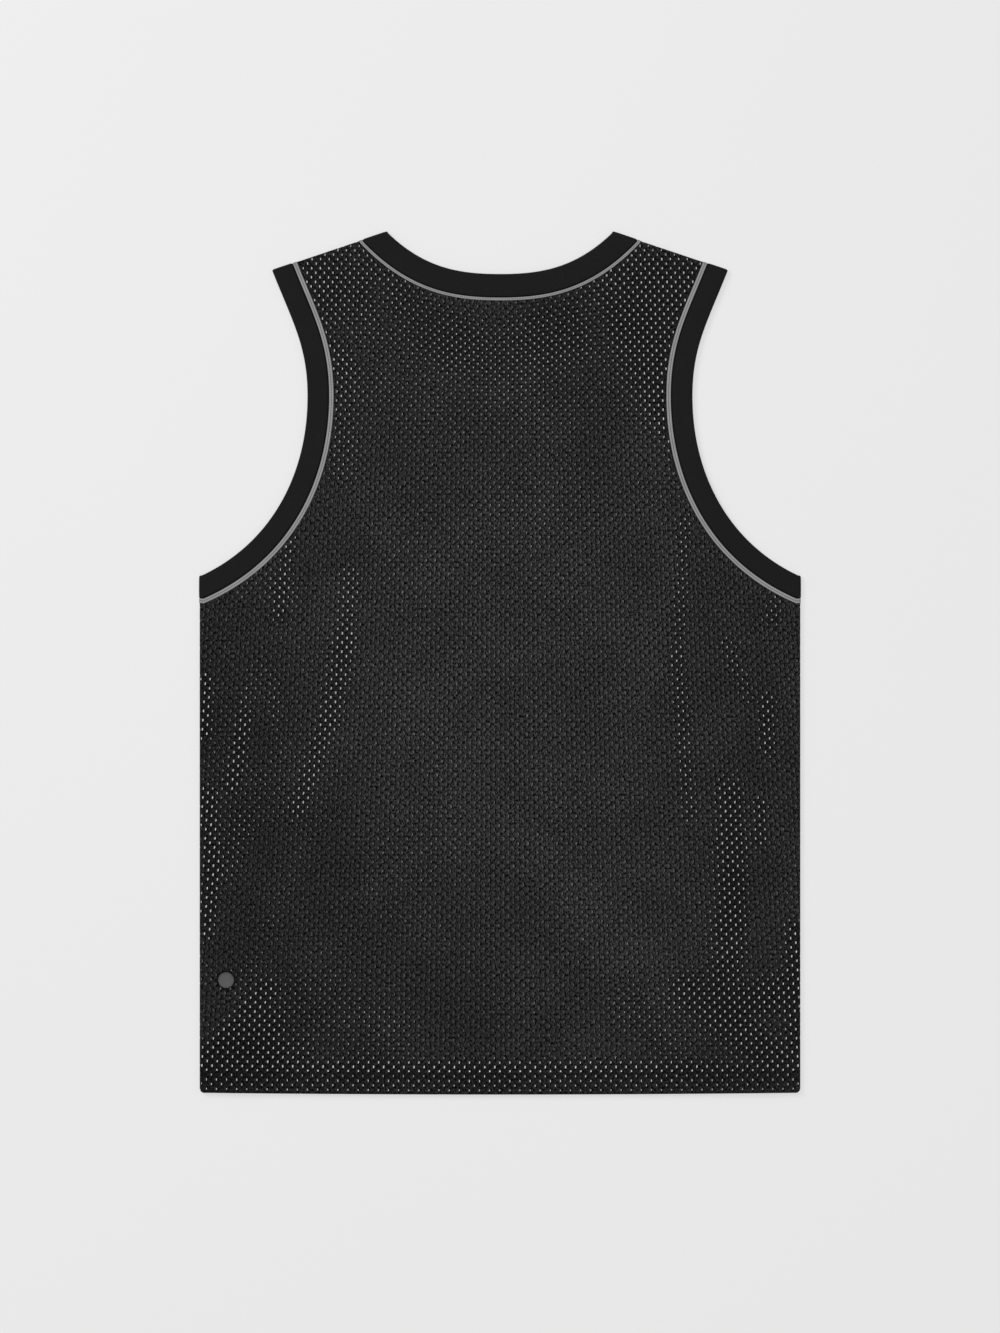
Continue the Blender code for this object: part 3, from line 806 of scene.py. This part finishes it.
def disc(name, rubber):
    """Blank moulded disc with a slim raised rim. The profile gives shares of its radius
    and heights above its rim."""
    centre = np.array(DISC_CENTRE)
    lifted = raised(centre[None], SWELLS + CREASES)[0]
    profile = [(1.0, -DISC_FOOT), (1.0, -0.00042), (0.992, -0.00020), (0.972, -0.00006),
               (0.945, 0.0), (0.905, -0.00001), (0.880, -0.00010), (0.862, -0.00022),
               (0.840, -0.00026), (0.5, -0.00024), (0.2, -DISC_DISH)]
    points, faces = [], []
    for share, height in profile:
        for side in range(DISC_SIDES):
            angle = 2 * math.pi * side / DISC_SIDES
            x, y = centre + DISC_RADIUS * share * np.array((math.cos(angle), math.sin(angle)))
            points.append((x, y, DISC_TOP + lifted + height))
    for k in range(len(profile) - 1):
        for side in range(DISC_SIDES):
            faces.append(corners(k * DISC_SIDES, (k + 1) * DISC_SIDES, side, DISC_SIDES))
    points.append((*centre, DISC_TOP + lifted - DISC_DISH))
    last = (len(profile) - 1) * DISC_SIDES
    for side in range(DISC_SIDES):
        faces.append((last + side, last + (side + 1) % DISC_SIDES, len(points) - 1))
    return make(name, points, faces, [rubber], "hem_disc")


# ---- Materials ----
WAVE = 2 * math.pi / 20     # a wave texture's scale times the length of one wave
SHARE, FIRST, SECOND, MIXED = 0, 6, 7, 2    # a colour mix's inputs and its result


def linear(code):
    """Linear colour of an sRGB hex value."""
    shares = [int(code[k:k + 2], 16) / 255 for k in (1, 3, 5)]
    return (*(s / 12.92 if s <= 0.04045 else ((s + 0.055) / 1.055) ** 2.4 for s in shares), 1.0)


def feed(tree, node, inputs):
    """Set a node's inputs to values, or link them to other nodes."""
    for socket, value in inputs.items():
        if isinstance(value, bpy.types.NodeSocket):
            tree.links.new(value, node.inputs[socket])
        else:
            node.inputs[socket].default_value = value


def add(tree, kind, inputs=None, **settings):
    """A node with its settings and its inputs."""
    node = tree.nodes.new(kind)
    for key, value in settings.items():
        setattr(node, key, value)
    feed(tree, node, inputs or {})
    return node


def blank(name):
    """A new material, its node tree, its Principled shader and the piece's own coordinates."""
    material = bpy.data.materials.new(name)
    material.use_nodes = True
    tree = material.node_tree
    place_at = add(tree, "ShaderNodeTexCoord").outputs["Object"]
    return material, tree, tree.nodes["Principled BSDF"], place_at


def mesh_knit(name, dark, light):
    """Polyester mesh, warp-knitted and piece-dyed black: dull, with a faint painted highlight on its
    raised wales, painted shade at its hole rims and over broad areas, and a fine pillar-stitch
    grain."""
    material, tree, shader, place_at = blank(name)
    # the knit's rise: the material paints its wales lighter, a painted highlight, and its low hole
    # rims darker, painted shade
    relief = add(tree, "ShaderNodeAttribute", attribute_name="relief").outputs["Fac"]
    # the share of light that is painted into the colour as painted shade
    painted_light_fac = add(tree, "ShaderNodeAttribute", attribute_name="painted_light_share").outputs["Fac"]
    # stitch loops are 0.3 mm apart, drawn 1.1 mm apart so that they show
    loops = add(tree, "ShaderNodeTexVoronoi", {"Vector": place_at, "Scale": 1 / 0.0011})
    # strands cross every 0.6 mm, drawn in upright tufts 1.1 by 2.3 mm so that they show
    upright = add(tree, "ShaderNodeMapping", {"Vector": place_at,
                                              "Scale": (1 / 0.0011, 1 / 0.0023, 1)})
    strands = add(tree, "ShaderNodeTexNoise", {"Vector": upright.outputs["Vector"], "Scale": 1.0,
                                               "Detail": 1.5, "Roughness": 0.6})
    tufts = add(tree, "ShaderNodeMapRange", {"Value": strands.outputs["Fac"], "From Min": 0.35,
                                             "From Max": 0.66, "To Min": -0.14, "To Max": 0.40})
    # painted highlight: the raised wales are painted lighter and the low hole rims darker as painted
    # shade, the tufts break it up, and the share of light paints broad shade over it
    wales = add(tree, "ShaderNodeMath", {0: relief, 1: 2.2}, operation="POWER")
    lit = add(tree, "ShaderNodeMath", {0: wales.outputs[0], 1: tufts.outputs["Result"]},
              operation="ADD", use_clamp=True)
    share = add(tree, "ShaderNodeMath", {0: lit.outputs[0], 1: painted_light_fac}, operation="MULTIPLY")
    tufts_and_painted_light = add(tree, "ShaderNodeMix", {SHARE: share.outputs[0], FIRST: linear(dark),
                                       SECOND: linear(light)}, data_type="RGBA")
    # the dye took a little unevenly, over some 55 mm
    shade = add(tree, "ShaderNodeTexNoise", {"Vector": place_at, "Scale": 1 / 0.055,
                                             "Detail": 3.0, "Roughness": 0.5})
    faded = add(tree, "ShaderNodeMapRange", {"Value": shade.outputs["Fac"], "From Min": 0.35,
                                             "From Max": 0.65, "To Min": 0.0, "To Max": 0.22})
    dyed = add(tree, "ShaderNodeMix", {SHARE: faded.outputs["Result"], FIRST: tufts_and_painted_light.outputs[MIXED],
                                       SECOND: linear(dark)}, data_type="RGBA")
    gloss = add(tree, "ShaderNodeMapRange", {"Value": strands.outputs["Fac"], "From Min": 0.3,
                                             "From Max": 0.7, "To Min": 0.74, "To Max": 0.55})
    bump = add(tree, "ShaderNodeBump", {"Height": loops.outputs["Distance"], "Strength": 0.5,
                                        "Distance": 0.00025})
    feed(tree, shader, {"Base Color": dyed.outputs[MIXED], "Roughness": gloss.outputs["Result"],
                        "Normal": bump.outputs["Normal"]})
    shader.inputs["Specular IOR Level"].default_value = 0.025
    shader.inputs["Sheen Weight"].default_value = 0.01
    shader.inputs["Sheen Roughness"].default_value = 0.45
    return material


def plain_knit():
    """Polyester interlock, circular-knitted: an even matt face with fine wales that run across the
    band, and a painted shadow along its seam by the piping."""
    material, tree, shader, place_at = blank("polyester_interlock_circular_knitted")
    strip_at = add(tree, "ShaderNodeUVMap", uv_map="strip").outputs["UV"]
    # painted shadow: it is painted darkest in the fold along its seam, where it comes out from under
    # the piping
    across = add(tree, "ShaderNodeSeparateXYZ", {0: strip_at}).outputs["Y"]
    painted_seam_shadow = add(tree, "ShaderNodeMapRange", {"Value": across, "From Min": SEAM_ALLOWANCE,
                                              "From Max": SEAM_ALLOWANCE + 0.0014,
                                              "To Min": 0.15, "To Max": 1.0})
    # wales are 0.7 mm apart, drawn 1.4 mm apart so that they show
    wales = add(tree, "ShaderNodeTexWave", {"Vector": strip_at, "Scale": WAVE / 0.0014,
                                            "Distortion": 0.4, "Detail": 1.0})
    # loose fibres lie in tufts of about 1.2 mm, and the dye is uneven over some 30 mm
    fuzz = add(tree, "ShaderNodeTexNoise", {"Vector": place_at, "Scale": 1 / 0.0012,
                                            "Detail": 2.0})
    shade = add(tree, "ShaderNodeTexNoise", {"Vector": place_at, "Scale": 1 / 0.030,
                                             "Detail": 2.0})
    grain = add(tree, "ShaderNodeMapRange", {"Value": fuzz.outputs["Fac"], "From Min": 0.35,
                                             "From Max": 0.65, "To Min": 0.0, "To Max": 1.0})
    face = add(tree, "ShaderNodeMix", {SHARE: grain.outputs["Result"], FIRST: linear("#101011"),
                                       SECOND: linear("#262627")}, data_type="RGBA")
    worn = add(tree, "ShaderNodeMix", {SHARE: shade.outputs["Fac"], FIRST: linear("#161617"),
                                       SECOND: face.outputs[MIXED]}, data_type="RGBA")
    # the band's tones with the painted seam shadow mixed in
    dyed = add(tree, "ShaderNodeMix", {SHARE: painted_seam_shadow.outputs["Result"], FIRST: linear("#030303"),
                                       SECOND: worn.outputs[MIXED]}, data_type="RGBA")
    height = add(tree, "ShaderNodeMath", {0: wales.outputs["Fac"], 1: fuzz.outputs["Fac"]},
                 operation="ADD")
    bump = add(tree, "ShaderNodeBump", {"Height": height.outputs[0], "Strength": 0.3,
                                        "Distance": 0.00012})
    gloss = add(tree, "ShaderNodeMapRange", {"Value": fuzz.outputs["Fac"], "From Min": 0.3,
                                             "From Max": 0.7, "To Min": 0.66, "To Max": 0.80})
    feed(tree, shader, {"Base Color": dyed.outputs[MIXED], "Roughness": gloss.outputs["Result"],
                        "Normal": bump.outputs["Normal"]})
    shader.inputs["Specular IOR Level"].default_value = 0.16
    shader.inputs["Sheen Weight"].default_value = 0.04
    shader.inputs["Sheen Roughness"].default_value = 0.5
    return material


def piping_tape(name, dark, light, roughness):
    """Grey polyester tape, woven and folded flat: a slight satin gloss on the floats, with
    fine ribs across it."""
    material, tree, shader, place_at = blank(name)
    strip_at = add(tree, "ShaderNodeUVMap", uv_map="strip").outputs["UV"]
    # weft ribs are 0.4 mm apart, drawn 1.3 mm apart so that they show
    ribs = add(tree, "ShaderNodeTexWave", {"Vector": strip_at, "Scale": WAVE / 0.0013,
                                           "Distortion": 1.0, "Detail": 1.0})
    # it is worn a little unevenly, over some 12 mm
    wear = add(tree, "ShaderNodeTexNoise", {"Vector": place_at, "Scale": 1 / 0.012,
                                            "Detail": 3.0})
    share = add(tree, "ShaderNodeMath", {0: ribs.outputs["Fac"], 1: wear.outputs["Fac"]},
                operation="MULTIPLY")
    tone = add(tree, "ShaderNodeMix", {SHARE: share.outputs[0], FIRST: linear(dark),
                                       SECOND: linear(light)}, data_type="RGBA")
    bump = add(tree, "ShaderNodeBump", {"Height": ribs.outputs["Fac"], "Strength": 0.35,
                                        "Distance": 0.0001})
    feed(tree, shader, {"Base Color": tone.outputs[MIXED], "Normal": bump.outputs["Normal"]})
    shader.inputs["Roughness"].default_value = roughness
    shader.inputs["Specular IOR Level"].default_value = 0.4
    return material


def moulded_rubber():
    """Silicone rubber, moulded and matt: soft grey with a fine spark-eroded grain."""
    material, tree, shader, place_at = blank("silicone_rubber_moulded")
    # the mould's grain is 0.5 mm wide, and the pigment is uneven over 4 mm
    grain = add(tree, "ShaderNodeTexNoise", {"Vector": place_at, "Scale": 1 / 0.0005,
                                             "Detail": 3.0})
    cloud = add(tree, "ShaderNodeTexNoise", {"Vector": place_at, "Scale": 1 / 0.004})
    tone = add(tree, "ShaderNodeMix", {SHARE: cloud.outputs["Fac"], FIRST: linear("#4c4c4d"),
                                       SECOND: linear("#5a5a5b")}, data_type="RGBA")
    bump = add(tree, "ShaderNodeBump", {"Height": grain.outputs["Fac"], "Strength": 0.25,
                                        "Distance": 0.00008})
    feed(tree, shader, {"Base Color": tone.outputs[MIXED], "Normal": bump.outputs["Normal"]})
    shader.inputs["Roughness"].default_value = 0.55
    return material


def sewing_thread():
    """Polyester thread, spun and dyed black: a little glossier than the knit round it."""
    material, tree, shader, place_at = blank("polyester_thread_spun")
    # the two plies turn every 0.6 mm
    twist = add(tree, "ShaderNodeTexWave", {"Vector": place_at, "Scale": WAVE / 0.0006},
                bands_direction="DIAGONAL")
    tone = add(tree, "ShaderNodeMix", {SHARE: twist.outputs["Fac"], FIRST: linear("#0e0e0f"),
                                       SECOND: linear("#1d1d1e")}, data_type="RGBA")
    feed(tree, shader, {"Base Color": tone.outputs[MIXED]})
    shader.inputs["Roughness"].default_value = 0.5
    shader.inputs["Specular IOR Level"].default_value = 0.25
    return material


def light_table():
    """Opal acrylic, cast and matt, lit a little from behind: plain, with no gloss."""
    material, tree, shader, place_at = blank("opal_acrylic_cast_matt")
    cloud = add(tree, "ShaderNodeTexNoise", {"Vector": place_at, "Scale": 1.5, "Detail": 2.0})
    tone = add(tree, "ShaderNodeMix", {SHARE: cloud.outputs["Fac"], FIRST: linear("#e7e7e7"),
                                       SECOND: linear("#e9e9e9")}, data_type="RGBA")
    feed(tree, shader, {"Base Color": tone.outputs[MIXED]})
    shader.inputs["Roughness"].default_value = 1.0
    shader.inputs["Specular IOR Level"].default_value = 0.0
    shader.inputs["Emission Color"].default_value = linear("#ffffff")
    shader.inputs["Emission Strength"].default_value = FLOOR_GLOW
    return material


# ---- Studio ----
LENS = 200.0                # mm, on a frame 36 mm high
FRAME_HEIGHT = 1.17304      # metres that the picture covers at the cloth
VIEW_CENTRE = (0.0, -0.0032)
OVERHEAD_SPOT = (0.0, 0.0, 9.0)
OVERHEAD_SIZE = 3.2
OVERHEAD_POWER = 320.0
SIDE_SPOT = (-2.6, 2.2, 2.4)
SIDE_SIZE = 1.6
SIDE_POWER = 30.0
FILL = 0.17                 # even light from all round
FLOOR_GLOW = 0.30
FLOOR_REACH = 6.0           # from its middle to its sides


def area_light(name, spot, size, power):
    """A square soft box that faces the origin."""
    lamp = bpy.data.lights.new(name, "AREA")
    lamp.size = size
    lamp.energy = power
    light = put(name, lamp)
    light.location = spot
    light.rotation_euler = (-Vector(spot)).to_track_quat("-Z", "Y").to_euler()


def studio():
    """The surface that the garment lies on, its lights and the camera straight above."""
    mesh = bpy.data.meshes.new("floor")
    ways = ((-1, -1), (1, -1), (1, 1), (-1, 1))
    mesh.from_pydata([(x * FLOOR_REACH, y * FLOOR_REACH, 0) for x, y in ways], [], [(0, 1, 2, 3)])
    mesh.materials.append(light_table())
    put("floor", mesh)

    area_light("overhead_box", OVERHEAD_SPOT, OVERHEAD_SIZE, OVERHEAD_POWER)
    area_light("side_box", SIDE_SPOT, SIDE_SIZE, SIDE_POWER)
    world = bpy.data.worlds.new("room")
    bpy.context.scene.world = world
    world.use_nodes = True
    background = world.node_tree.nodes["Background"]
    background.inputs["Color"].default_value = linear("#ffffff")
    background.inputs["Strength"].default_value = FILL

    camera = put("camera", bpy.data.cameras.new("camera"))
    camera.data.lens = LENS
    camera.location = (*VIEW_CENTRE, STACK + LENS * FRAME_HEIGHT / camera.data.sensor_width)
    bpy.context.scene.camera = camera
    bpy.context.scene.view_settings.view_transform = "Standard"


# ---- The garment ----
def rings(step):
    """Stations round the neck, the left armhole and the right."""
    return neck_ring(step), arm_ring(-1, step), arm_ring(1, step)


def garment():
    """Every piece, each with the cloth it is made of."""
    # the lighter colour is the painted highlight on the back's wales
    back_knit = mesh_knit("polyester_mesh_warp_knitted", "#060607", "#777778")
    # the front is painted lighter than the back: painted light where it shows through the back's
    # holes
    front_knit_painted_lighter = mesh_knit("polyester_mesh_warp_knitted_inner_face_painted_lighter", "#1a1a1b", "#424243")
    plain, thread = plain_knit(), sewing_thread()
    tape = piping_tape("polyester_tape_woven", "#98989a", "#c6c6c8", 0.45)
    # a darker copy of the tape along the sewn line: painted shade in the sunk line
    painted_groove_shade = piping_tape("polyester_tape_sewn_line_painted_shade", "#5a5a5c", "#8e8e90", 0.6)

    neck, left, right = rings(BAND_STEP)
    collar = band("neck_band_knit", "neck_band", neck, NECK_BAND, plain)
    left_band = band("left_arm_band_knit", "left_arm_band", left, ARM_BAND, plain)
    right_band = band("right_arm_band_knit", "right_arm_band", right, ARM_BAND, plain)
    neck, left, right = rings(TAPE_STEP)
    neck_tape = piping("neck_piping_tape", "neck_piping", neck, NECK_BAND, NECK_PIPING, tape, painted_groove_shade)
    left_tape = piping("left_arm_piping_tape", "left_arm_piping", left, ARM_BAND, ARM_PIPING,
                       tape, painted_groove_shade)
    right_tape = piping("right_arm_piping_tape", "right_arm_piping", right, ARM_BAND, ARM_PIPING,
                        tape, painted_groove_shade)

    back, back_cut = panel("back_panel_mesh", "back_panel", False, back_knit)
    front, front_cut = panel("front_panel_mesh", "front_panel", True, front_knit_painted_lighter)
    back_row = hem_stitches("back_hem_stitches", OVER, thread)
    front_row = hem_stitches("front_hem_stitches", UNDER, thread)
    button = disc("blank_disc", moulded_rubber())

    for piece, ring, size in ((collar, neck, NECK_BAND), (left_band, left, ARM_BAND),
                              (right_band, right, ARM_BAND)):
        around = float(station_gaps(ring).sum())


garment()
studio()
